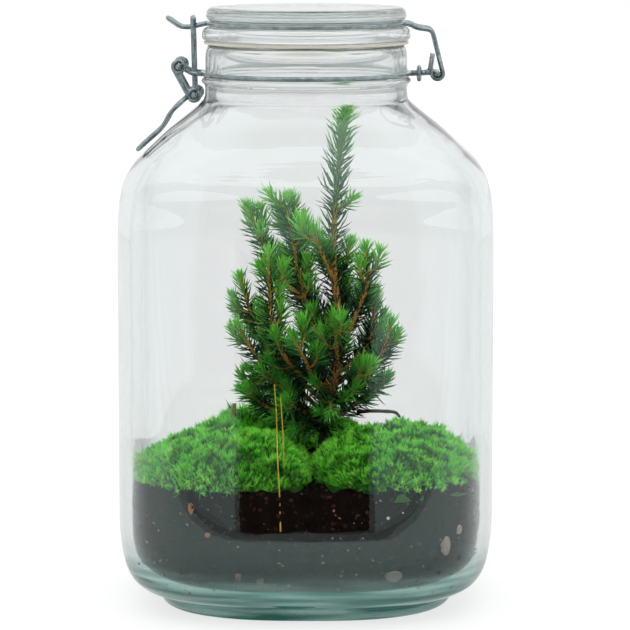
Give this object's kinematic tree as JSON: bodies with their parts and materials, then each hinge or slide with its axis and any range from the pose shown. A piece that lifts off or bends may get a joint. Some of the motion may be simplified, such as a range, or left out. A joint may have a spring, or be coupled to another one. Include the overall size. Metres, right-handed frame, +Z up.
{
  "type": "planted clip-top jar terrarium",
  "caption": "Clip-top glass jar terrarium: rounded-square jar with a hinged wire-closed lid, planted with a dwarf spruce in soil and moss.",
  "frame": {"origin": "middle of the jar's foot, on the surface that it stands on", "axes": "+Z up along the jar's axis, -X towards the clasp, +X towards the lid's hinge"},
  "size_m": [0.18, 0.18, 0.285],
  "materials": {
    "jar_glass": "pressed soda-lime glass, faint green tint",
    "lid_glass": "pressed clear glass",
    "gasket_rubber": "pale beige natural rubber",
    "wire_steel": "drawn galvanised wire",
    "soil": "damp dark potting soil",
    "spruce": "green needles on orange-brown stems",
    "moss": "living bright green cushion moss",
    "straw": "dry yellow grass",
    "bark": "dark dry bark"
  },
  "bodies": {
    "jar_body": {"jar": "jar_glass", "neck_wire": "wire_steel", "wire_collar": "wire_steel", "soil": "soil", "spruce": "spruce", "moss_left": "moss", "moss_right": "moss", "moss_back": "moss", "grass_stalk_1": "straw", "grass_stalk_2": "straw", "bark_peg": "bark", "twig": "bark"},
    "lid_body": {"lid": "lid_glass", "gasket": "gasket_rubber", "lid_bail": "wire_steel"},
    "lever_body": {"clasp_lever": "wire_steel"},
    "link_body": {"clasp_link": "wire_steel"}
  },
  "joints": [
    {"name": "lid_hinge", "type": "hinge", "parent": "jar_body", "child": "lid_body", "pos_m": [0.0628, 0, 0.2535], "axis": [0, 1, 0], "range_deg": [0, 180]},
    {"name": "lever_pivot", "type": "hinge", "parent": "jar_body", "child": "lever_body", "pos_m": [-0.0606, 0, 0.2569], "axis": [0, 1, 0], "range_deg": [0, 120]},
    {"name": "link_pivot", "type": "hinge", "parent": "lever_body", "child": "link_body", "pos_m": [-0.0533, 0, 0.2433], "axis": [0, 1, 0], "range_deg": [-90, 0]}
  ],
  "couplings": [
    {"joint": "link_pivot", "follows": "lever_pivot", "ratio": -0.75}
  ]
}
